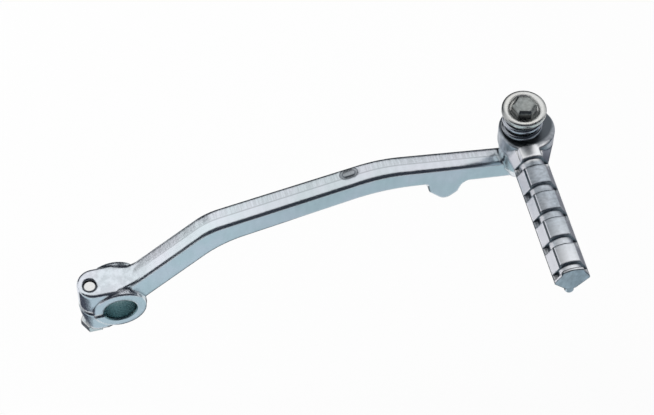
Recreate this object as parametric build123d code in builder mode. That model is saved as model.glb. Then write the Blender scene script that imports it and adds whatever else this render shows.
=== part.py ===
from build123d import *
import math
import os

# Kick start lever with a folding foot pedal, in millimetres.
# The origin is on the axis of the clamp bore, in the arm's middle plane. +Y runs along the bore
# away from the pedal, +X points to the pedal end, +Z runs along the pivot and the pinch bolt.

# Pinch bolt, M6, and the thread clearance it shares with the pivot bolt
pinch_radius = 3.0
pinch_head_flats = 9.5
pinch_head_height = 4.2
pinch_tip_sink = 0.8
pinch_tip_chamfer = 0.7
pinch_clearance = 0.2
pinch_wall = 0.45
thread_clearance = 0.05
pinch_head_chamfer = 0.6

# Clamp hub: the serrated bore, the barrel around it and the split ears
bore_radius = 6.8
serration_count = 32
serration_depth = 0.45
serration_mouth = 0.7
bore_chamfer = 0.6
barrel_wall = 4.4
barrel_front = 7.6
barrel_back = 10.4
barrel_edge = 0.7
barrel_back_edge = 2.0
ear_shift = (1.9, 0.8)
ear_radius = 7.2
ear_over_barrel = 0.8
ear_under_barrel = 1.6
body_over_barrel = 0.5
ear_run_up = 5.9
ear_blend_radius = 10.0
ear_edge = 1.4
heel_cut = 3.6
heel_drop = 4.5
slit_width = 1.6
slit_drop = 1.4

# Arm: a forged bar that bends twice, drafted away from its middle plane
root_bend = (42.2, 35.4)
crown_bend = (112.7, 50.2)
pivot_reach = 171.6
arm_end_height = 40.8
arm_root_height = 11.8
arm_crown_height = 10.4
arm_end_depth = 9.8
root_bend_top_radius = 22.0
root_bend_under_radius = 39.0
crown_bend_top_radius = 50.0
crown_bend_under_radius = 70.0
arm_root_width = 10.6
arm_end_width = 9.0
draft_angle = 5.0
arm_edge = 1.1
arm_front_edge = 2.0

# Stop lug under the arm, as steps from a point of the arm's underside, and the sunk oval mark on its top
lug_reach = 139.4
lug_root_left = (-8.4, 3.0)
lug_shoulder = (-7.0, -4.6)
lug_tip = (0.0, -12.4)
lug_cheek = (6.0, -7.6)
lug_heel = (7.6, -3.1)
lug_root_right = (12.1, 0.5)
lug_radii = [1.5, 4.2, 2.2, 2.2]
lug_blend_radius = 1.5
mark_place = (99.5, 1.9)
mark_length = 7.6
mark_width = 5.0
mark_island = 2.7
mark_depth = 0.6

# Pivot bolt, spring and spring cup, stacked on the pedal's hub
shoulder_radius = 4.0
running_clearance = 0.05
pivot_thread_radius = 3.0
pivot_head_flats = 9.0
pivot_head_height = 3.7
pivot_head_turn = -14.0
pivot_head_chamfer = 1.0
spring_height = 11.2
spring_room = 2.0
spring_wire = 2.4
spring_pitch = 4.4
spring_start = 303.0
cup_overhang = 0.7
cup_floor = 1.5
cup_rim_height = 3.0
cup_dish = 0.7
cup_head_room = 0.9
cup_lip = 0.5
cup_edge = 0.6
cup_rim_edge = 1.0
cup_clearance = 0.1

# End boss that carries the pedal, with the nib that stops it
boss_rise = 12.4
boss_flare = 3.2
boss_rim = 0.9
boss_edge = 0.5
boss_foot_margin = 0.5
boss_foot_drop = 0.3
nib_radius = 1.4
nib_height = 1.8
nib_wall = 0.55
nib_clearance = 0.3

# Foot pedal: hub, neck and grooved tread, folding about the pivot
fold_angle = 75.0
thrust_clearance = 0.1
pedal_hub_radius = 11.5
pedal_hub_shift = 2.2
pedal_hub_height = 9.6
pedal_hub_edge = 0.9
pedal_hub_foot_edge = 2.0
pedal_axis_rise = 3.1
pedal_rim = 1.0
keel_depth = 6.0
keel_half_width = 1.8
core_radius = 5.3
core_lift = 0.7
land_half_width = 4.2
land_step = 0.5
shoulder_run = 2.5
shoulder_rise = 4.5
land_side = 1.7
land_crown = 1.0
land_wear = 1.0
groove_first = 15.3
groove_pitch = 13.1
groove_width = 3.4
groove_count = 5
end_groove = 2.5
end_plate = 1.2
neck_start = 5.0
neck_inset = 1.2
neck_shoulder_left = 5.6
neck_shoulder_right = 6.6
neck_shoulder_rise = 5.6
boss_gap = 0.8
spring_gap = 0.3
stub_radius = 2.0
stub_drop = 3.8
stub_edge = 1.0
stub_inset = 2.1

# Clamp hub, from the bore outwards
pinch_offset = bore_radius + serration_depth + pinch_wall + pinch_radius + pinch_clearance
barrel_radius = bore_radius + barrel_wall
body_radius = barrel_radius + body_over_barrel
barrel_width = barrel_front + barrel_back
ear_round = (ear_shift[0] - pinch_offset, ear_shift[1])
ear_reach = ear_radius - ear_round[0]
ear_front = ear_round[1] - ear_radius
ear_back = ear_round[1] + ear_radius
ear_rise = barrel_radius + ear_over_barrel
ear_drop = barrel_radius + ear_under_barrel

# Radii about the pivot, from the bolt outwards
nib_orbit = shoulder_radius + running_clearance + nib_wall + nib_clearance + nib_radius
boss_radius = nib_orbit + nib_radius + boss_rim
boss_foot_radius = arm_end_width / 2 + boss_foot_margin
spring_radius = shoulder_radius + spring_room + spring_wire / 2
cup_radius = spring_radius + spring_wire / 2 + cup_overhang
cup_well_radius = pivot_head_flats / math.sqrt(3) + cup_head_room

# Heights along the pivot, from the boss up
boss_bottom = arm_end_height - arm_end_depth / 2 - boss_foot_drop
boss_top = arm_end_height + boss_rise
hub_bottom = boss_top + thrust_clearance
hub_top = hub_bottom + pedal_hub_height
pedal_axis = hub_bottom + pedal_axis_rise
spring_bottom = hub_top + thrust_clearance
cup_bottom = spring_bottom + spring_height
head_seat = cup_bottom + cup_floor

# Section and length of the tread
shoulder_half_width = land_half_width + land_step
pedal_half_width = shoulder_half_width + shoulder_run
land_edge_rise = shoulder_rise + land_side
land_rise = land_edge_rise + land_crown
pedal_reach = groove_first + (groove_count - 1) * groove_pitch + end_groove + end_plate

pivot_plane = Plane((pivot_reach, 0, 0))
pivot_line = Axis((pivot_reach, 0, 0), (0, 0, 1))


def cross_plane(height, forward=0.0):
    """Upright plane across the pedal, its origin on the pivot line and shifted towards -Y."""
    return Plane((pivot_reach, -forward, height), x_dir=(1, 0, 0), z_dir=(0, -1, 0))


def unit(start, end):
    """Direction from one point of the arm's centreline to the next."""
    length = math.dist(start, end)
    return ((end[0] - start[0]) / length, (end[1] - start[1]) / length)


def arm_edge_points(side):
    """Corners of the arm's upper (side 1) or lower (side -1) edge, parallel to its centreline."""
    line = [(0.0, 0.0), root_bend, crown_bend, (pivot_reach, arm_end_height)]
    heights = [arm_root_height, arm_root_height, arm_crown_height, arm_end_depth]
    ways = [unit(a, b) for a, b in zip(line, line[1:])]
    corners = []
    for i, (point, height) in enumerate(zip(line, heights)):
        before = ways[max(i - 1, 0)]
        after = ways[min(i, len(ways) - 1)]
        share = 1 + before[0] * after[0] + before[1] * after[1]
        normal = (-(before[1] + after[1]) / share, (before[0] + after[0]) / share)
        reach = side * height / 2
        corners.append((point[0] + normal[0] * reach, point[1] + normal[1] * reach))
    return corners


def arm_edge_at(side, stretch, reach):
    """Height and slope of the arm's upper or lower edge, on one straight stretch of the arm."""
    start, end = arm_edge_points(side)[stretch : stretch + 2]
    slope = (end[1] - start[1]) / (end[0] - start[0])
    return start[1] + slope * (reach - start[0]), math.degrees(math.atan(slope))


def lug_point(step):
    """A corner of the lug, from its step off the arm's underside."""
    return (lug_reach + step[0], arm_edge_at(-1, 2, lug_reach)[0] + step[1])


def land_span(number):
    """Where a raised land of the tread starts and ends, measured out from the pivot."""
    end = groove_first + number * groove_pitch
    start = end - groove_pitch + groove_width
    return start, end


# Hub's body, between the clamp ears and the arm
with BuildPart() as hub_body:
    with BuildSketch(Plane.XZ.offset(-ear_back)):
        Circle(body_radius)
    extrude(amount=ear_back - ear_front)
    fillet(hub_body.edges().filter_by(GeomType.CIRCLE), ear_edge)

# Clamp ears: a flat-topped block, rounded about the pinch bolt
with BuildPart() as ear_block:
    with BuildSketch(Plane.XZ):
        Polygon(
            (-ear_reach, ear_rise),
            (0, ear_rise),
            (0, -barrel_radius + barrel_edge),
            (-barrel_radius / 2, -ear_drop),
            (heel_cut - ear_reach, -ear_drop),
            (-ear_reach, -heel_drop),
            align=None,
        )
    extrude(amount=barrel_width, both=True)
    with BuildSketch(Plane.XY.offset(-ear_drop)):
        with Locations(ear_round):
            Circle(ear_radius)
            Rectangle(ear_reach, 2 * ear_radius, align=(Align.MIN, Align.CENTER))
    extrude(amount=ear_drop + ear_rise, mode=Mode.INTERSECT)
    ear_top = ear_block.faces().sort_by(Axis.Z)[-1]
    fillet(ear_top.edges().filter_by(Axis.Y, reverse=True), ear_edge)

# Ramp from the ears' top to the arm's, which its end sinks into
with BuildPart() as ramp:
    arm_way = unit((0.0, 0.0), root_bend)
    climb = arm_way[1] / arm_way[0]
    crease = (ear_rise - arm_root_height / 2 / arm_way[0]) / climb
    ramp_end = crease + ear_run_up
    ramp_sink = arm_root_width / 2 * math.tan(math.radians(draft_angle))
    ramp_crest = ear_rise + ear_run_up * climb - ramp_sink
    with BuildSketch(Plane.XZ) as ramp_side:
        Polygon(
            (0, 0),
            (0, ear_rise),
            (crease, ear_rise),
            (ramp_end, ramp_crest),
            (ramp_end, 0),
            align=None,
        )
        fillet(ramp_side.vertices().sort_by_distance((crease, ear_rise))[0], ear_blend_radius)
    extrude(amount=barrel_width, both=True)
    with BuildSketch(Plane.XY):
        Polygon(
            (0, ear_front + ear_edge),
            (ramp_end, arm_front_edge - arm_root_width / 2),
            (ramp_end, arm_root_width / 2 - arm_edge),
            (0, ear_back - ear_edge),
            align=None,
        )
    extrude(amount=ramp_crest, mode=Mode.INTERSECT)

# The forged lever: arm, lug, clamp hub and end boss in one piece
with BuildPart() as lever_arm:
    upper = arm_edge_points(1)
    lower = arm_edge_points(-1)
    with BuildSketch(Plane.XZ) as arm_side:
        with BuildLine():
            FilletPolyline(*upper, radius=[root_bend_top_radius, crown_bend_top_radius])
            Line(upper[-1], lower[-1])
            FilletPolyline(*reversed(lower), radius=[crown_bend_under_radius, root_bend_under_radius])
            Line(lower[0], upper[0])
        make_face()
        with BuildLine():
            steps = (lug_root_left, lug_shoulder, lug_tip, lug_cheek, lug_heel, lug_root_right)
            lug_points = [lug_point(step) for step in steps]
            FilletPolyline(*lug_points, radius=lug_radii)
            Line(lug_points[-1], lug_points[0])
        make_face()
        lug_roots = [arm_side.vertices().sort_by_distance(lug_points[end])[0] for end in (0, -1)]
        fillet(lug_roots, lug_blend_radius)
    extrude(amount=arm_root_width / 2, both=True, taper=draft_angle)
    slim = (arm_root_width - arm_end_width) / 2 / pivot_reach
    for side in (1, -1):
        face = Plane((0, side * arm_root_width / 2, 0), x_dir=(1, -side * slim, 0), z_dir=(slim, side, 0))
        split(bisect_by=face, keep=Keep.BOTTOM)
    rims = lever_arm.faces().filter_by(lambda f: abs(f.normal_at().Y) > 0.9)
    tops = lever_arm.faces().filter_by(lambda f: f.normal_at().Z > 0.5)
    front_edges = (rims.edges() & tops.edges()).filter_by(lambda e: e.center().Y < 0)
    other_edges = rims.edges() - front_edges
    fillet(front_edges, arm_front_edge)
    fillet(other_edges, arm_edge)

    add(hub_body.part)
    add(ear_block.part)
    add(ramp.part)
    with BuildSketch(Plane.XZ.offset(-barrel_back)):
        Circle(barrel_radius)
    extrude(amount=barrel_width)
    barrel_rims = lever_arm.edges().filter_by(GeomType.CIRCLE).filter_by(
        lambda e: abs(e.radius - barrel_radius) < 0.01 and e.is_closed
    ).sort_by(Axis.Y)
    fillet(barrel_rims[0], barrel_edge)
    fillet(barrel_rims[-1], barrel_back_edge)

    with BuildSketch(cross_plane(0)):
        Polygon(
            (0, boss_bottom),
            (boss_foot_radius, boss_bottom),
            (boss_radius, arm_end_height + boss_flare),
            (boss_radius, boss_top - boss_edge),
            (boss_radius - boss_edge, boss_top),
            (0, boss_top),
            align=None,
        )
    revolve(axis=pivot_line)
    with BuildSketch(pivot_plane.offset(boss_top)):
        with Locations((nib_orbit, 0)):
            Circle(nib_radius)
    extrude(amount=nib_height)

    # Serrated bore with a lead-in at both mouths, split through the ears
    with BuildSketch(Plane.XZ.offset(-barrel_back)):
        Circle(bore_radius)
        with PolarLocations(bore_radius, serration_count):
            Polygon(
                (-serration_depth, -serration_mouth),
                (serration_depth, 0),
                (-serration_depth, serration_mouth),
                align=None,
            )
    extrude(amount=barrel_width, mode=Mode.SUBTRACT)
    with BuildSketch(Plane.XY):
        for mouth, inward in ((barrel_back, -bore_chamfer), (-barrel_front, bore_chamfer)):
            Polygon(
                (0, mouth),
                (bore_radius + bore_chamfer, mouth),
                (bore_radius, mouth + inward),
                (0, mouth + inward),
                align=None,
            )
    revolve(axis=Axis.Y, mode=Mode.SUBTRACT)
    with BuildSketch(Plane.XZ):
        with Locations((-ear_reach, -slit_drop)):
            Rectangle(ear_reach * 2, slit_width)
    extrude(amount=barrel_width, both=True, mode=Mode.SUBTRACT)

    # Pinch bolt holes: a clearance hole below the slit, the threaded one above it
    with BuildSketch(Plane.XY.offset(-slit_drop)):
        with Locations((-pinch_offset, 0)):
            Circle(pinch_radius + pinch_clearance)
    extrude(amount=-ear_drop, mode=Mode.SUBTRACT)
    with BuildSketch(Plane.XY.offset(-slit_drop)):
        with Locations((-pinch_offset, 0)):
            Circle(pinch_radius + thread_clearance)
    extrude(amount=ear_rise * 2, mode=Mode.SUBTRACT)

    # Threaded hole for the pivot bolt
    with BuildSketch(pivot_plane.offset(boss_bottom)):
        Circle(pivot_thread_radius + thread_clearance)
    extrude(amount=boss_top - boss_bottom, mode=Mode.SUBTRACT)

    # Sunk oval mark with a plain island
    mark_height, mark_slope = arm_edge_at(1, 1, mark_place[0])
    mark_plane = Plane((mark_place[0], mark_place[1], mark_height)).rotated((0, -mark_slope, 0))
    with BuildSketch(mark_plane.offset(-mark_depth)):
        SlotOverall(mark_length, mark_width)
        SlotOverall(mark_length - mark_width + mark_island, mark_island, mode=Mode.SUBTRACT)
    extrude(amount=mark_depth * 2, mode=Mode.SUBTRACT)

# Pinch bolt: hex head under the lower ear, tip just under the upper face
with BuildPart() as pinch_bolt:
    with BuildSketch(Plane.XY.offset(-ear_drop - pinch_head_height)):
        with Locations((-pinch_offset, 0)):
            RegularPolygon(pinch_head_flats / 2, 6, major_radius=False)
    extrude(amount=pinch_head_height)
    chamfer(pinch_bolt.faces().sort_by(Axis.Z)[0].edges(), pinch_head_chamfer)
    with BuildSketch(Plane.XY.offset(-ear_drop)):
        with Locations((-pinch_offset, 0)):
            Circle(pinch_radius)
    extrude(amount=ear_drop + ear_rise - pinch_tip_sink)
    chamfer(pinch_bolt.faces().sort_by(Axis.Z)[-1].edges(), pinch_tip_chamfer)

# Folding foot pedal, standing out towards -Y
with BuildPart() as foot_pedal:
    with BuildSketch(pivot_plane.offset(hub_bottom)):
        with Locations((pedal_hub_shift, 0)):
            Circle(pedal_hub_radius)
    extrude(amount=pedal_hub_height)
    hub_rims = foot_pedal.edges().filter_by(GeomType.CIRCLE).sort_by(Axis.Z)
    fillet(hub_rims[0], pedal_hub_foot_edge)
    fillet(hub_rims[-1], pedal_hub_edge)

    # Neck: flares from the tread's section to the hub
    keel_slope = (pedal_half_width - keel_half_width) / (keel_depth - pedal_rim / 2)
    keel_inset = (pedal_axis_rise - pedal_rim / 2) * keel_slope
    neck_left = pedal_hub_radius - pedal_hub_shift - neck_inset
    neck_right = pedal_hub_radius + pedal_hub_shift - neck_inset
    hub_end = (neck_left, neck_right, neck_shoulder_left, neck_shoulder_right, neck_shoulder_rise)
    tread_end = (pedal_half_width,) * 2 + (shoulder_half_width,) * 2 + (shoulder_rise,)
    for forward, section in ((neck_start, hub_end), (groove_first, tread_end)):
        left, right, shoulder_left, shoulder_right, rise = section
        with BuildSketch(cross_plane(pedal_axis, forward)):
            Polygon(
                (keel_inset - left, -pedal_axis_rise),
                (right - keel_inset, -pedal_axis_rise),
                (right, -pedal_rim / 2),
                (right, pedal_rim / 2),
                (shoulder_right, rise),
                (-shoulder_left, rise),
                (-left, pedal_rim / 2),
                (-left, -pedal_rim / 2),
                align=None,
            )
    loft(ruled=True)

    # Lower half: a blunt keel with a rim, starting clear of the boss
    keel_start = boss_radius + boss_gap
    with BuildSketch(cross_plane(pedal_axis, keel_start)):
        Polygon(
            (pedal_half_width, pedal_rim / 2),
            (-pedal_half_width, pedal_rim / 2),
            (-pedal_half_width, -pedal_rim / 2),
            (-keel_half_width, -keel_depth),
            (keel_half_width, -keel_depth),
            (pedal_half_width, -pedal_rim / 2),
            align=None,
        )
        with Locations((0, core_lift)):
            Circle(core_radius)
    extrude(amount=pedal_reach - keel_start)

    # Raised lands of the tread, then the thin plate that ends it
    spans = [land_span(number) for number in range(groove_count)]
    spans[0] = (spring_radius + spring_wire / 2 + spring_gap, groove_first)
    spans.append((pedal_reach - end_plate, pedal_reach))
    for start, end in spans:
        with BuildSketch(cross_plane(pedal_axis, start)):
            with BuildLine():
                land_left = (-land_half_width, land_edge_rise)
                land_right = (land_half_width, land_edge_rise)
                ThreePointArc(land_left, (0, land_rise), land_right)
                Polyline(
                    land_right,
                    (shoulder_half_width, shoulder_rise),
                    (pedal_half_width, pedal_rim / 2),
                    (-pedal_half_width, pedal_rim / 2),
                    (-shoulder_half_width, shoulder_rise),
                    land_left,
                )
            make_face()
        extrude(amount=end - start)

    # Upper edges of the lands, rounded by the forging die and by wear
    land_tops = foot_pedal.faces().filter_by(GeomType.CYLINDER).sort_by(Axis.Z)[-len(spans):]
    land_edges = [edge for top in land_tops.sort_by(Axis.Y)[1:] for edge in top.edges()]
    fillet([edge for edge in land_edges if edge.center().Y < -keel_start], land_wear)

    # Stub left under the tip
    with BuildSketch(pivot_plane.offset(pedal_axis - keel_depth - stub_drop)):
        with Locations((0, -pedal_reach + stub_inset)):
            Circle(stub_radius)
    extrude(amount=keel_depth + stub_drop)
    fillet(foot_pedal.faces().sort_by(Axis.Z)[0].edges(), stub_edge)

    # Running bore on the pivot bolt, and the arc pocket that the boss's nib runs in
    with BuildSketch(pivot_plane.offset(hub_bottom)):
        Circle(shoulder_radius + running_clearance)
    extrude(amount=pedal_hub_height, mode=Mode.SUBTRACT)
    with BuildSketch(pivot_plane.offset(hub_bottom)):
        with BuildLine() as nib_path:
            CenterArc((0, 0), nib_orbit, 0, fold_angle)
        SlotArc(nib_path.edge(), 2 * (nib_radius + nib_clearance))
    extrude(amount=nib_height + nib_clearance, mode=Mode.SUBTRACT)

# Pivot bolt: hex head in the cup, plain shoulder through the pedal, thread in the boss
with BuildPart() as pivot_bolt:
    with BuildSketch(pivot_plane.offset(boss_bottom)):
        Circle(pivot_thread_radius)
    extrude(amount=boss_top - boss_bottom)
    with BuildSketch(pivot_plane.offset(boss_top)):
        Circle(shoulder_radius)
    extrude(amount=head_seat - boss_top)
    with BuildSketch(pivot_plane.offset(head_seat)):
        RegularPolygon(pivot_head_flats / 2, 6, major_radius=False, rotation=pivot_head_turn)
    extrude(amount=pivot_head_height)
    chamfer(pivot_bolt.faces().sort_by(Axis.Z)[-1].edges(), pivot_head_chamfer)

# Spring cup: a dished washer with a raised rim around the bolt's head
with BuildPart() as spring_cup:
    with BuildSketch(cross_plane(cup_bottom)) as cup_half:
        Polygon(
            (shoulder_radius + cup_clearance, 0),
            (cup_radius, 0),
            (cup_radius, cup_rim_height),
            (cup_well_radius, cup_rim_height - cup_dish),
            (cup_well_radius, cup_floor),
            (shoulder_radius + cup_clearance, cup_floor),
            align=None,
        )
        rounds = {
            (cup_radius, 0): cup_edge,
            (cup_radius, cup_rim_height): cup_rim_edge,
            (cup_well_radius, cup_rim_height - cup_dish): cup_lip,
        }
        for corner, radius in rounds.items():
            fillet(cup_half.vertices().sort_by_distance(corner)[0], radius)
    revolve(axis=pivot_line)

# Coil spring between the cup and the pedal's hub, its ends ground flat
with BuildPart() as pedal_spring:
    spring_plane = pivot_plane.offset(spring_bottom).rotated((0, 0, spring_start))
    with BuildLine(spring_plane) as coil:
        Helix(spring_pitch, spring_height, spring_radius)
    with BuildSketch(Plane(coil.line @ 0, z_dir=coil.line % 0)):
        Circle(spring_wire / 2)
    sweep(path=coil.line, is_frenet=True)
    split(bisect_by=Plane.XY.offset(spring_bottom), keep=Keep.TOP)
    split(bisect_by=Plane.XY.offset(cup_bottom), keep=Keep.BOTTOM)

os.makedirs("parts", exist_ok=True)
pieces = {
    "lever_arm": lever_arm,
    "pinch_bolt": pinch_bolt,
    "foot_pedal": foot_pedal,
    "pivot_bolt": pivot_bolt,
    "spring_cup": spring_cup,
    "pedal_spring": pedal_spring,
}
for name, piece in pieces.items():
    piece.part.label = name
    export_step(piece.part, f"parts/{name}.step")
    print(name, round(piece.part.volume), "mm3,", len(piece.part.solids()), "solid")
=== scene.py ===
# %% [markdown]
# # A kick start lever with a folding foot pedal
# The lever is six steel pieces, all zinc plated: a forged arm, a forged pedal, two bolts, a coil
# spring and a dished washer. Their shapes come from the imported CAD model, so this lesson is about
# the looks: the plated finish of each piece, the small light tent around them, and the camera.

# %% Load the CAD model
import math

import bmesh
import bpy
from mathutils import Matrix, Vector


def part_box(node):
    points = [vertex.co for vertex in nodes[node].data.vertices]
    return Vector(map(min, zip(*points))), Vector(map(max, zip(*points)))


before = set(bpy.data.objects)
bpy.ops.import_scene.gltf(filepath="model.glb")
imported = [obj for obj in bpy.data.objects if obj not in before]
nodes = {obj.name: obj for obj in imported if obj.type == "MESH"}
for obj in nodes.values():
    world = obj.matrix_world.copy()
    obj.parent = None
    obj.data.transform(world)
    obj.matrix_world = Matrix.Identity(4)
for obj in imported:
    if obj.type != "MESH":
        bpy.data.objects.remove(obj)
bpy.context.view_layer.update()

print("CAD nodes:", sorted(nodes))

# %% [markdown]
# ## Where the pieces are
# Some finishes change along a piece, so they need a few places to start from. These three could be
# typed in, but would go wrong when the model changes, so they are read from the boxes of the CAD
# nodes. Other places were matched to the photograph, and are typed in millimetres further down.

# %% Measure the pivot, the toe and the spring
bolt_low, bolt_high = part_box("pivot_bolt")
pivot_x = (bolt_low.x + bolt_high.x) / 2
toe_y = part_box("foot_pedal")[0].y
spring_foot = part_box("pedal_spring")[0].z
print("Pivot at X", round(pivot_x, 4), "toe at Y", round(toe_y, 4), "spring from Z", round(spring_foot, 4))

# %% [markdown]
# ## Small helpers
# A finish is a chain of shader nodes. One function adds a node, sets it and links it, and gives
# back its output, so that a chain reads from top to bottom. Colours are written as sRGB hex values,
# as a paint chart gives them, and the shader wants them linear. Sizes are written in millimetres.
# A mask is mostly a Map Range node, and `ramp` names its five inputs in one line.


# %% Helpers for shader nodes, colours and sizes
def add(tree, kind, inputs, out=0, **settings):
    """Add one node: each input gets a value, or a link from another node's output.

    What comes back is one of its outputs. A node that ends a chain has none.
    """
    made = tree.nodes.new("ShaderNode" + kind)
    for name, value in settings.items():
        setattr(made, name, value)
    for name, value in inputs.items():
        if isinstance(value, bpy.types.NodeSocket):
            tree.links.new(value, made.inputs[name])
        else:
            made.inputs[name].default_value = value
    return made.outputs[out] if made.outputs else None


def linear(hex_colour):
    """An sRGB hex colour as the linear red, green, blue and alpha that a shader takes."""
    parts = [int(hex_colour[i : i + 2], 16) / 255 for i in (1, 3, 5)]
    return tuple(c / 12.92 if c <= 0.04045 else ((c + 0.055) / 1.055) ** 2.4 for c in parts) + (1.0,)


MM = 0.001


def mm(*sizes):
    """Sizes in millimetres as the metres that Blender takes."""
    return [size * MM for size in sizes]


def ramp(value, start, end, low=0.0, high=1.0):
    """Inputs of a Map Range node: low up to the start, high from the end on."""
    return {"Value": value, "From Min": start, "From Max": end, "To Min": low, "To Max": high}


# Sockets of a Mix node that mixes colours, and its two ways to mix
FACTOR, COLOUR_A, COLOUR_B, MIXED = 0, 6, 7, 2
LAYER = {"out": MIXED, "data_type": "RGBA"}
SHADE = {**LAYER, "blend_type": "MULTIPLY"}
print("A mid grey in linear light:", [round(c, 3) for c in linear("#808080")])

# %% [markdown]
# ## Zinc plate
# All the pieces look plated in bright zinc: a thin blue-white metal skin that drifts from lavender
# to green. The skin copies what is under it, so the forgings look soft and slightly pitted. A
# picture of zinc would repeat and smear, so the shader is a plain metal instead. Wide clouds drift
# its tint, fine grit gives it bump, and noise that is drawn out one way gives it tool marks.

# %% The plated skin
cloud_width = 14 * MM
cloud_range = (0.35, 0.65)
mark_range = (0.3, 0.7)


def bare_material(name):
    """An empty material and its node tree."""
    material = bpy.data.materials.new(name)
    material.use_nodes = True
    material.node_tree.nodes.clear()
    return material, material.node_tree


def new_finish(name):
    """An empty material, its node tree, and the place and facing of a point on the piece."""
    material, tree = bare_material(name)
    return material, tree, add(tree, "TexCoord", {}).node.outputs


def plated_skin(tree, place, pale, tint, marks, mark_depth):
    """The zinc's colour: wide clouds, then tool marks of the given size along X, Y and Z in mm."""
    clouds = add(tree, "TexNoise", {"Vector": place, "Scale": 1 / cloud_width, "Detail": 2.0})
    drift = add(tree, "MapRange", ramp(clouds, *cloud_range))
    skin = add(tree, "Mix", {FACTOR: drift, COLOUR_A: linear(pale), COLOUR_B: linear(tint)}, **LAYER)
    drawn = add(tree, "Mapping", {"Vector": place, "Scale": [1 / size for size in mm(*marks)]})
    lines = add(tree, "TexNoise", {"Vector": drawn, "Scale": 1.0, "Detail": 1.0})
    streak = add(tree, "MapRange", ramp(lines, *mark_range, 1 - mark_depth, 1.0))
    return add(tree, "Mix", {FACTOR: 1.0, COLOUR_A: skin, COLOUR_B: streak}, **SHADE)


print("Clouds in the zinc are", cloud_width, "m wide")

# %% [markdown]
# ## Painted shade in corners and along edges
# Corners and edges are darkened in the colour: this is painted shade. Painting them by hand would
# take a map for each piece. Two nodes find those places on any mesh: Ambient Occlusion sees how
# sheltered a point is, and the Bevel node's rounded normal leaves the true one near an edge.

# %% Where shade is painted
sheltered_to_open = (0.3, 0.9)
edge_to_face = (0.90, 0.99)


def painted_corner_edge_shade(tree, shelter, corner_share, edge, edge_share):
    """Painted shade: 0 on open faces, more in corners and along edges. Shelter and edge are in
    millimetres.
    """
    open_sky = add(tree, "AmbientOcclusion", {"Distance": shelter * MM}, out="AO", samples=16)
    corner = add(tree, "MapRange", ramp(open_sky, *sheltered_to_open, corner_share, 0.0))
    rounded = add(tree, "Bevel", {"Radius": edge * MM}, samples=6)
    true_normal = add(tree, "NewGeometry", {}, out="Normal")
    agree = add(tree, "VectorMath", {0: rounded, 1: true_normal}, out="Value", operation="DOT_PRODUCT")
    edge_shade = add(tree, "MapRange", ramp(agree, *edge_to_face, edge_share, 0.0))
    return add(tree, "Math", {0: corner, 1: edge_shade}, operation="MAXIMUM")


print("Edges are dull where the normals agree less than", edge_to_face[1])

# %% [markdown]
# ## The metal
# The last step of each finish lays the painted shade colour over the skin, rounds the edges that
# light catches, and hands all to one metal shader. The same grit drives the bump and the gloss, so
# that both change together. Real grit is finer than this picture can show, so it is drawn about a
# millimetre wide.

# %% The metal under the skin
gloss_spread = 0.07


def finish_plate(tree, place, skin, painted_shade, painted_shade_colour, roughness, grit, relief, soft):
    """The metal shader. Grit, relief and the softening of edges are in millimetres."""
    # Painted shade: the dark colour goes over the skin in corners and along edges.
    shown = add(tree, "Mix", {FACTOR: painted_shade, COLOUR_A: skin, COLOUR_B: linear(painted_shade_colour)}, **LAYER)
    grains = add(tree, "TexNoise", {"Vector": place, "Scale": 1 / (grit * MM), "Detail": 3.0})
    softened = add(tree, "Bevel", {"Radius": soft * MM}, samples=16)
    pits = {"Height": grains, "Distance": relief * MM, "Strength": 1.0, "Normal": softened}
    bump = add(tree, "Bump", pits)
    smoothest, roughest = roughness - gloss_spread, roughness + gloss_spread
    gloss = add(tree, "MapRange", ramp(grains, 0.0, 1.0, smoothest, roughest))
    metal = {"Base Color": shown, "Metallic": 1.0, "Roughness": gloss, "Normal": bump}
    shader = add(tree, "BsdfPrincipled", metal)
    add(tree, "OutputMaterial", {"Surface": shader})


print("Gloss drifts by", gloss_spread, "each way")

# %% [markdown]
# ## The arm
# The arm is a die forging. A line runs along its top, where the two halves of such a die meet, and
# fine strokes cross the half behind it, like those of a trimming file. Both are too fine to model
# as shape, so they are drawn as shades, and masks of place and facing keep them on the top.

# %% Zinc on the arm
# Zinc on a smooth forging gives the eye a cold white sheen with soft, wide reflections.
forging, tree, spots = new_finish("zinc plate on die forged steel")
place = spots["Object"]
xyz = add(tree, "SeparateXYZ", {"Vector": place}).node.outputs
facing = add(tree, "SeparateXYZ", {"Vector": spots["Normal"]}).node.outputs
skin = plated_skin(tree, place, pale="#e8ecf5", tint="#dee9ef", marks=(2.4, 7.0, 7.0), mark_depth=0.05)
print("Started:", forging.name)

# %% File strokes and die line
top_facing = (0.6, 0.7)
leaves_hub = mm(10, 18)
behind_line = mm(0.2, 0.5)
stroke_size = mm(0.7, 9, 9)
noise_middle = (0.4, 0.6)
stroke_shades = (0.87, 0.98)
line_half_width = mm(0.15, 0.45)
line_shade = 0.72
upward = add(tree, "MapRange", ramp(facing["Z"], *top_facing))
past_hub = add(tree, "MapRange", ramp(xyz["X"], *leaves_hub))
on_top = add(tree, "Math", {0: upward, 1: past_hub}, operation="MULTIPLY")
behind = add(tree, "MapRange", ramp(xyz["Y"], *behind_line))
filed = add(tree, "Math", {0: on_top, 1: behind}, operation="MULTIPLY")
across = add(tree, "Mapping", {"Vector": place, "Scale": [1 / size for size in stroke_size]})
strokes = add(tree, "TexNoise", {"Vector": across, "Scale": 1.0, "Detail": 0.0})
cut = add(tree, "MapRange", ramp(strokes, *noise_middle, *stroke_shades))
skin = add(tree, "Mix", {FACTOR: filed, COLOUR_A: skin, COLOUR_B: cut}, **SHADE)
from_middle = add(tree, "Math", {0: xyz["Y"]}, operation="ABSOLUTE")
die_line = add(tree, "MapRange", ramp(from_middle, *line_half_width, line_shade, 1.0))
skin = add(tree, "Mix", {FACTOR: on_top, COLOUR_A: skin, COLOUR_B: die_line}, **SHADE)
print("File strokes are about", stroke_size[0], "m apart")
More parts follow.
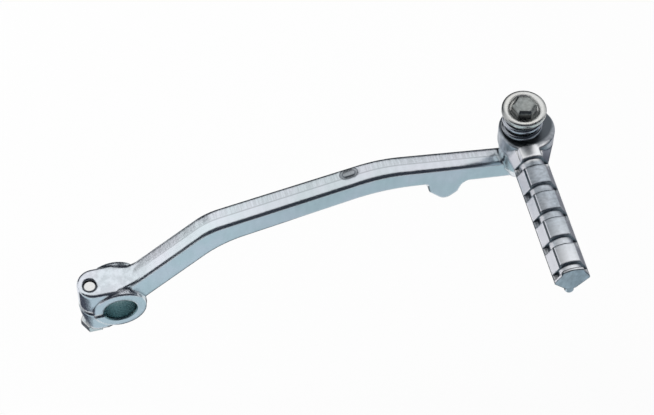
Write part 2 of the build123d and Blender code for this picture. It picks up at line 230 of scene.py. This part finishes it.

# %% [markdown]
# ## The arm's tones
# In the photograph the arm is a little greyer away from the hub, the sunk oval mark is darker, the
# top of the hub is blotchy, and the bore is a green grey. Each is a colour behind a mask of place.
# The greyer stretch and the darker oval are painted shade. What causes the blotches and the green
# grey can't be seen, so those masks only follow the tones.

# %% Painted shade: grey stretch and sunk oval
grey_stretch = mm(40, 76)
grey_shade = 0.86
oval_middle = mm(99.5, 1.9, 0)
oval_half_length, oval_half_width = mm(3.8, 2.5)
oval_rim = (0.9, 1.1)
oval_shade = 0.55


def reach_from(tree, place, middle, across):
    """How far a point is from a line through the middle. Across is 0 along that line."""
    away = add(tree, "VectorMath", {0: place, 1: middle}, operation="SUBTRACT")
    flat = add(tree, "VectorMath", {0: away, 1: across}, operation="MULTIPLY")
    return add(tree, "VectorMath", {0: flat}, out="Value", operation="LENGTH")


# Painted shade: the arm turns greyer from X 40 mm to 76 mm, and the sunk oval is darker.
grey = add(tree, "MapRange", ramp(xyz["X"], *grey_stretch, 1.0, grey_shade))
skin = add(tree, "Mix", {FACTOR: 1.0, COLOUR_A: skin, COLOUR_B: grey}, **SHADE)
in_oval = reach_from(tree, place, oval_middle, (1 / oval_half_length, 1 / oval_half_width, 0))
painted_oval_shade = add(tree, "MapRange", ramp(in_oval, *oval_rim, oval_shade, 1.0))
skin = add(tree, "Mix", {FACTOR: 1.0, COLOUR_A: skin, COLOUR_B: painted_oval_shade}, **SHADE)
print("Sunk oval at X", oval_middle[0])

# %% Hub and bore
hub_fade = mm(26, 14)
blotch_width = 2.6 * MM
blotch_shade = 0.84
bore_wall = mm(7.3, 7.45)
from_bore = reach_from(tree, place, (0, 0, 0), (1, 0, 1))
near_hub = add(tree, "MapRange", ramp(from_bore, *hub_fade))
hub_top = add(tree, "Math", {0: near_hub, 1: upward}, operation="MULTIPLY")
blotches = add(tree, "TexNoise", {"Vector": place, "Scale": 1 / blotch_width, "Detail": 3.0})
patchy = add(tree, "MapRange", ramp(blotches, *noise_middle, blotch_shade, 1.0))
skin = add(tree, "Mix", {FACTOR: hub_top, COLOUR_A: skin, COLOUR_B: patchy}, **SHADE)
outside = add(tree, "MapRange", ramp(from_bore, *bore_wall))
skin = add(tree, "Mix", {FACTOR: outside, COLOUR_A: linear("#93aeb2"), COLOUR_B: skin}, **LAYER)
corners = painted_corner_edge_shade(tree, shelter=2.5, corner_share=0.9, edge=0.6, edge_share=0.7)
painted_shade = add(tree, "Math", {0: corners, 1: outside}, operation="MULTIPLY")
finish_plate(tree, place, skin, painted_shade, "#3c4650", roughness=0.22, grit=1.1, relief=0.03, soft=2.2)
print("Finished:", forging.name)

# %% [markdown]
# ## The pedal
# The pedal is a rougher forging, with five lands that a boot stands on. In the photograph the lands
# are grey and mottled, paler along their middle and towards the toe. The paler middle and greyer
# sides of each land are a painted sheen and painted shade on its rounded top. A map painted by hand
# could show this too. Masks need no unwrapping: they read the way a point faces, and how far along
# or across the pedal it is.

# %% Zinc on the pedal
# Zinc on a rough forging gives the eye a grey, mottled sheen with blurred reflections.
tread, tree, spots = new_finish("zinc plate on forged tread")
place = spots["Object"]
xyz = add(tree, "SeparateXYZ", {"Vector": place}).node.outputs
facing = add(tree, "SeparateXYZ", {"Vector": spots["Normal"]}).node.outputs
skin = plated_skin(tree, place, pale="#c6ccd4", tint="#b8c2cc", marks=(1.7, 1.2, 3.0), mark_depth=0.30)
print("Started:", tread.name)

# %% Paler lands towards the toe, and painted sheen across each land
land_facing = (0.7, 0.95)
paler_stretch = mm(-40, -66)
paler_share = 0.75
pale_line = pivot_x + 1.2 * MM
pale_to_grey = mm(0.8, 4.6)
land_shades = (1.08, 0.62)
upward = add(tree, "MapRange", ramp(facing["Z"], *land_facing))
# The lands are paler towards the toe.
to_toe = add(tree, "MapRange", ramp(xyz["Y"], *paler_stretch, 0.0, paler_share))
paler_to_toe = add(tree, "Math", {0: to_toe, 1: upward}, operation="MULTIPLY")
skin = add(tree, "Mix", {FACTOR: paler_to_toe, COLOUR_A: skin, COLOUR_B: linear("#f0f2f6")}, **LAYER)
# Painted sheen and painted shade: each land is palest along a line down its middle and greyer at its
# sides.
sideways = add(tree, "Math", {0: xyz["X"], 1: pale_line}, operation="SUBTRACT")
aside = add(tree, "Math", {0: sideways}, operation="ABSOLUTE")
painted_land_sheen = add(tree, "MapRange", ramp(aside, *pale_to_grey, *land_shades))
skin = add(tree, "Mix", {FACTOR: upward, COLOUR_A: skin, COLOUR_B: painted_land_sheen}, **SHADE)
print("Lands are palest at X", round(pale_line, 4))

# %% [markdown]
# ## The pedal's other tones
# The left bevel and the first land are bright in the photograph, the right side is darker, and the
# hub around the spring is dark. The groove walls that face the toe and the steep left sides of the
# lands are dark too. All of these are painted: a painted highlight on the left bevel and the first
# land, and painted shade on the right side, the hub and the walls. Cards could make them as
# reflections instead. Masks were chosen because each changes one place and leaves the rest alone.

# %% Painted highlight on the bevel and the first land, painted shade on the right side
bevel_facing = (-0.62, -0.78)
neck_start = mm(-8, -10)
first_groove = mm(-17, -15.6)
far_facing = (0.5, 0.75)
# Painted highlight on the left bevel and on the first land, and painted shade on the right side.
leftward = add(tree, "MapRange", ramp(facing["X"], *bevel_facing))
past_hub = add(tree, "MapRange", ramp(xyz["Y"], *neck_start))
bevel = add(tree, "Math", {0: leftward, 1: past_hub}, operation="MULTIPLY")
skin = add(tree, "Mix", {FACTOR: bevel, COLOUR_A: skin, COLOUR_B: linear("#f4f4fa")}, **LAYER)
by_spring = add(tree, "MapRange", ramp(xyz["Y"], *first_groove))
first_land = add(tree, "Math", {0: by_spring, 1: past_hub}, operation="MULTIPLY")
bright = add(tree, "Math", {0: first_land, 1: upward}, operation="MULTIPLY")
skin = add(tree, "Mix", {FACTOR: bright, COLOUR_A: skin, COLOUR_B: linear("#fafbfd")}, **LAYER)
far_side_painted_shade = add(tree, "MapRange", ramp(facing["X"], *far_facing))
skin = add(tree, "Mix", {FACTOR: far_side_painted_shade, COLOUR_A: skin, COLOUR_B: linear("#8e929e")}, **LAYER)
print("First land is bright up to Y", first_groove[1])

# %% Painted shade on the hub round the spring and on the groove walls
hub_shade_middle = (pivot_x + 2.2 * MM, 2.5 * MM, 0)
hub_shade_rim = mm(11.6, 10.6)
wall_facing = (-0.8, -0.97)
wall_share = 0.65
inside_toe = (toe_y + 1.9 * MM, toe_y + 2.9 * MM)
steep_facing = (-0.88, -0.93)
tread_start = mm(-16.5, -17.5)
# Painted shade on the hub's top round the spring, under the washer.
from_spring = reach_from(tree, place, hub_shade_middle, (1, 1, 0))
near_spring = add(tree, "MapRange", ramp(from_spring, *hub_shade_rim))
painted_hub_shade = add(tree, "Math", {0: near_spring, 1: upward}, operation="MULTIPLY")
skin = add(tree, "Mix", {FACTOR: painted_hub_shade, COLOUR_A: skin, COLOUR_B: linear("#585e64")}, **LAYER)
# Painted shade on the groove walls that face the toe and on the steep left sides of the lands.
toe_wall = add(tree, "MapRange", ramp(facing["Y"], *wall_facing, 0.0, wall_share))
inner = add(tree, "MapRange", ramp(xyz["Y"], *inside_toe))
groove_wall = add(tree, "Math", {0: toe_wall, 1: inner}, operation="MULTIPLY")
steep = add(tree, "MapRange", ramp(facing["X"], *steep_facing))
on_tread = add(tree, "MapRange", ramp(xyz["Y"], *tread_start))
land_side = add(tree, "Math", {0: steep, 1: on_tread}, operation="MULTIPLY")
painted_wall_shade = add(tree, "Math", {0: land_side, 1: groove_wall}, operation="MAXIMUM")
corners = painted_corner_edge_shade(tree, shelter=5.0, corner_share=0.2, edge=0.6, edge_share=0.85)
painted_shade = add(tree, "Math", {0: corners, 1: painted_wall_shade}, operation="MAXIMUM")
finish_plate(tree, place, skin, painted_shade, "#4a525a", roughness=0.38, grit=1.0, relief=0.012, soft=1.2)
print("Finished:", tread.name)

# %% [markdown]
# ## The washer and the spring
# The washer is a dish pressed from sheet, and the spring is coiled from drawn wire. In the
# photograph the washer's rim is dark at the back and the lower turns of the spring are dark. These
# are a painted dark reflection on the rim and painted shade on the turns. The masks for that are a
# ring round the pivot and a height above the spring's foot, because both pieces are round and have
# no corner to start from.

# %% Zinc on the washer
# Zinc on pressed sheet gives the eye a smooth, warm white ring.
rolled_rim = mm(7.7, 8.5)
rim_share = 0.85
rim_back = mm(-7, 1)
washer, tree, spots = new_finish("zinc plate on pressed washer")
place = spots["Object"]
skin = plated_skin(tree, place, pale="#e6e5e0", tint="#dcdede", marks=(3.0, 3.0, 0.8), mark_depth=0.06)
# Painted dark reflection: the outer edge of the rim is darker on its back half.
from_pivot = reach_from(tree, place, (pivot_x, 0, 0), (1, 1, 0))
rolled = add(tree, "MapRange", ramp(from_pivot, *rolled_rim, 0.0, rim_share))
along = add(tree, "SeparateXYZ", {"Vector": place}, out="Y")
behind = add(tree, "MapRange", ramp(along, *rim_back))
painted_rim_reflection = add(tree, "Math", {0: rolled, 1: behind}, operation="MULTIPLY")
skin = add(tree, "Mix", {FACTOR: painted_rim_reflection, COLOUR_A: skin, COLOUR_B: linear("#5c6063")}, **LAYER)
painted_shade = painted_corner_edge_shade(tree, shelter=3.0, corner_share=0.1, edge=0.6, edge_share=0.7)
finish_plate(tree, place, skin, painted_shade, "#3a3b3e", roughness=0.28, grit=0.8, relief=0.01, soft=2.2)
print("Finished:", washer.name)

# %% Zinc on the spring
# Zinc on drawn wire gives the eye a thin bright line along each turn.
painted_shade_turns = (spring_foot + 1 * MM, spring_foot + 7 * MM)
foot_shade = 0.35
coil, tree, spots = new_finish("zinc plate on spring wire")
place = spots["Object"]
skin = plated_skin(tree, place, pale="#c4c8d2", tint="#bac0c8", marks=(2.0, 2.0, 2.0), mark_depth=0.08)
# Painted shade: the turns get darker from 7 mm above the spring's foot down to 1 mm above it.
height = add(tree, "SeparateXYZ", {"Vector": place}, out="Z")
painted_lower_shade = add(tree, "MapRange", ramp(height, *painted_shade_turns, foot_shade, 1.0))
skin = add(tree, "Mix", {FACTOR: 1.0, COLOUR_A: skin, COLOUR_B: painted_lower_shade}, **SHADE)
painted_shade = painted_corner_edge_shade(tree, shelter=6.0, corner_share=0.7, edge=0.3, edge_share=0.3)
finish_plate(tree, place, skin, painted_shade, "#2c2f36", roughness=0.26, grit=0.7, relief=0.01, soft=0.3)
print("Finished:", coil.name)

# %% [markdown]
# ## The bolts
# One bolt closes the clamp, and the pedal turns on the shoulder of the other. In the photograph the
# first one's tip is bright, and the second one's head is darker and streaked. Each could have a
# cell of its own, but they have the same chain of nodes, so a loop makes both from their values.

# %% Zinc on the bolts
# Zinc on a headed bolt gives the eye bright flats. On the shoulder bolt they are grey and streaked.
bolt_looks = {
    "zinc plate on headed bolt": {
        "skin": {"pale": "#ececea", "tint": "#e4e6e8", "marks": (3.0, 3.0, 0.8), "mark_depth": 0.05},
        "painted_shade": {"shelter": 1.5, "corner_share": 0.4, "edge": 0.5, "edge_share": 0.4},
        "metal": {"painted_shade_colour": "#3a3c40", "roughness": 0.24, "grit": 0.8, "relief": 0.01, "soft": 0.5},
    },
    "zinc plate on shoulder bolt": {
        "skin": {"pale": "#aeb2b0", "tint": "#949a9a", "marks": (1.2, 1.2, 3.0), "mark_depth": 0.35},
        "painted_shade": {"shelter": 3.0, "corner_share": 0.6, "edge": 0.5, "edge_share": 0.6},
        "metal": {"painted_shade_colour": "#2e3032", "roughness": 0.34, "grit": 0.9, "relief": 0.03, "soft": 0.9},
    },
}
bolt_finishes = []
for name, look in bolt_looks.items():
    bolt_finish, tree, spots = new_finish(name)
    skin = plated_skin(tree, spots["Object"], **look["skin"])
    painted_shade = painted_corner_edge_shade(tree, **look["painted_shade"])
    finish_plate(tree, spots["Object"], skin, painted_shade, **look["metal"])
    bolt_finishes.append(bolt_finish)
print("Finished:", [finish.name for finish in bolt_finishes])

# %% [markdown]
# ## Finishes on the pieces
# Any material that came with a CAD node is taken off, so that the finish is its only one.

# %% Put each finish on its piece
headed_bolt, shoulder_bolt = bolt_finishes
finishes = {
    "lever_arm": forging,
    "foot_pedal": tread,
    "pinch_bolt": headed_bolt,
    "pivot_bolt": shoulder_bolt,
    "spring_cup": washer,
    "pedal_spring": coil,
}
for name, finish in finishes.items():
    nodes[name].data.materials.clear()
    nodes[name].data.materials.append(finish)
    print(name, "has", finish.name)

# %% [markdown]
# ## The light tent
# Bright metal shows what stands around it more than what lights it. Such parts are shot in a white
# tent, with dark cards where an edge has to stand out against the white. The tent here is the
# world and a floor. Both look white to the camera, and white or nearly so in reflections. For all
# other light the world is dimmer, at a plain level, and the floor is matt paper.

# %% White world
world_light = 0.7
world = bpy.data.worlds.new("white tent")
bpy.context.scene.world = world
world.use_nodes = True
world.node_tree.nodes.clear()


def seen_directly(tree):
    """1 for a ray from the camera, off a mirror or through glass, and 0 for other light."""
    path = add(tree, "LightPath", {}).node.outputs
    first = add(tree, "Math", {0: path["Is Camera Ray"], 1: path["Is Glossy Ray"]}, operation="MAXIMUM")
    return add(tree, "Math", {0: first, 1: path["Is Transmission Ray"]}, operation="MAXIMUM")


white_view = seen_directly(world.node_tree)
strength = add(world.node_tree, "MapRange", ramp(white_view, 0.0, 1.0, world_light, 1.0))
tent = add(world.node_tree, "Background", {"Color": linear("#ffffff"), "Strength": strength})
add(world.node_tree, "OutputWorld", {"Surface": tent})
print("World light:", world_light)

# %% White floor
floor_level = -110 * MM
floor_reach = 6.0
own_white = 0.8


def stage_sheet(name, shape, material):
    """A piece of the stage from a bmesh."""
    mesh = bpy.data.meshes.new(name)
    shape.to_mesh(mesh)
    shape.free()
    mesh.materials.append(material)
    sheet = bpy.data.objects.new(name, mesh)
    bpy.context.scene.collection.objects.link(sheet)
    return sheet


# White paper gives the eye a plain page. The part of its white that is matt takes a faint shadow.
paper, tree = bare_material("white paper")
matt = add(tree, "BsdfDiffuse", {"Color": linear("#f4f4f4")})
glow = add(tree, "Emission", {"Color": linear("#ffffff"), "Strength": 1.0})
share = add(tree, "Math", {0: seen_directly(tree), 1: own_white}, operation="MULTIPLY")
add(tree, "OutputMaterial", {"Surface": add(tree, "MixShader", {0: share, 1: matt, 2: glow})})
shape = bmesh.new()
bmesh.ops.create_grid(shape, x_segments=1, y_segments=1, size=floor_reach)
bmesh.ops.translate(shape, verts=shape.verts, vec=(0, 0, floor_level))
stage_sheet("floor", shape, paper)
print("Floor at", floor_level, "m")

# %% [markdown]
# ## Cards for the reflections
# Only reflections see the cards. A dark one curves over the camera's side, dark ones stand at the
# back and at the left, and six lie on the floor. The blue-grey one in front tints what mirrors it,
# and the one at the left gives the clamp's ear a dark band. Their places were found by comparing
# renders with the photograph. Lamps could not do this, because they only add light.

# %% A card that only reflections see
hidden_from = ("visible_camera", "visible_diffuse", "visible_shadow", "visible_transmission")


def card(name, shape, colour):
    """A sheet of even colour that shows in the metal and nowhere else."""
    board, tree = bare_material(name)
    face = add(tree, "Emission", {"Color": linear(colour), "Strength": 1.0})
    add(tree, "OutputMaterial", {"Surface": face})
    sheet = stage_sheet(name, shape, board)
    for kind_of_ray in hidden_from:
        setattr(sheet, kind_of_ray, False)


print("Switched off on each card:", hidden_from)


# %% Standing cards
def swept_band(start, end, axis, turn, steps=24):
    """A straight edge swept round an axis through the origin, by an angle in degrees."""
    shape = bmesh.new()
    ends = [shape.verts.new(start), shape.verts.new(end)]
    swept = [*ends, shape.edges.new(ends)]
    angle = math.radians(turn)
    bmesh.ops.spin(shape, geom=swept, cent=(0, 0, 0), axis=axis, angle=angle, steps=steps, use_merge=False)
    return shape


def standing_band(radius, azimuth, turn, foot, top):
    """An upright band round the Z axis, from an azimuth on, between two heights."""
    start = math.radians(azimuth)
    x, y = radius * math.cos(start), radius * math.sin(start)
    return swept_band((x, y, foot), (x, y, top), (0, 0, 1), turn)


front_radius = 1.5
front_half_width = 8.0
front_start = math.radians(2.0)
front_turn = -84.0
front_y = -front_radius * math.cos(front_start)
front_z = front_radius * math.sin(front_start)
front_ends = [(side * front_half_width, front_y, front_z) for side in (-1, 1)]
back_band = standing_band(radius=1.6, azimuth=50.0, turn=80.0, foot=floor_level, top=0.95)
left_band = standing_band(radius=1.6, azimuth=172.0, turn=-42.0, foot=0.06, top=0.22)
card("dark front card", swept_band(*front_ends, (1, 0, 0), front_turn), "#383c44")
card("dark back card", back_band, "#34383f")
card("dark left card", left_band, "#181a1e")
print("Front card turns by", front_turn, "degrees")

# %% Cards on the floor
# Each card's colour, then its left and right end along X and its near and far end along Y, in metres
floor_cards = {
    "dark floor card behind": ("#24262c", -0.25, 0.6, 0.28, 1.6),
    "dark floor card far behind": ("#24262c", -1.3, -0.25, 0.85, 1.6),
    "grey floor card at the right": ("#6c7078", 0.37, 1.4, -0.5, 0.27),
    "dark floor card at the left": ("#464a54", -0.5, -0.054, -0.06, 0.05),
    "grey floor card under the pivot": ("#565c60", 0.0, 0.1, -0.06, 0.09),
    "blue grey floor card in front": ("#bfd0d6", -0.6, 0.8, -1.43, -0.03),
}
above_floor = floor_level + 1 * MM
for name, (colour, left, right, near, far) in floor_cards.items():
    shape = bmesh.new()
    corners = ((left, near), (right, near), (right, far), (left, far))
    shape.faces.new([shape.verts.new((x, y, above_floor)) for x, y in corners])
    card(name, shape, colour)
print("Cards on the floor:", len(floor_cards))

# %% [markdown]
# ## The lamp
# The tent lights evenly from all sides. One softbox, above and behind, adds light on the matt share
# of the paper. The floor is far below the lever, so the shadow there is barely seen. Reflections
# don't see the lamp, because the white tent already gives the metal its bright places.

# %% Softbox
softbox_power = 9.0
softbox_size = 0.9
softbox_place = Vector((-0.2, 0.5, 1.3))
softbox_target = Vector((0.08, 0, 0.03))
softbox = bpy.data.lights.new("softbox", "AREA")
softbox.shape = "SQUARE"
softbox.size = softbox_size
softbox.energy = softbox_power
lamp = bpy.data.objects.new("softbox", softbox)
bpy.context.scene.collection.objects.link(lamp)
lamp.location = softbox_place
lamp.rotation_euler = (softbox_target - softbox_place).to_track_quat("-Z", "Y").to_euler()
lamp.visible_glossy = False
print("Softbox power:", softbox_power, "W")

# %% [markdown]
# ## The camera
# The photograph was matched by the round mouths of the bore and of the washer: both are circles
# at known angles, so their ellipses in the picture give the camera's direction and lens.

# %% Camera
camera_place = mm(-53.36, -541.38, 844.47)
camera_tilt, camera_roll, camera_turn = 34.6449, -0.5649, -14.033
camera_lens = 131.56
sensor_width = 36.0
view_depth = 20.0
camera_data = bpy.data.cameras.new("camera")
camera_data.sensor_fit = "HORIZONTAL"
camera_data.sensor_width = sensor_width
camera_data.lens = camera_lens
camera_data.clip_end = view_depth
camera = bpy.data.objects.new("camera", camera_data)
bpy.context.scene.collection.objects.link(camera)
camera.location = camera_place
camera.rotation_euler = [math.radians(angle) for angle in (camera_tilt, camera_roll, camera_turn)]
bpy.context.scene.camera = camera
bpy.context.scene.view_settings.view_transform = "Standard"
print("Camera lens:", camera_lens, "mm")
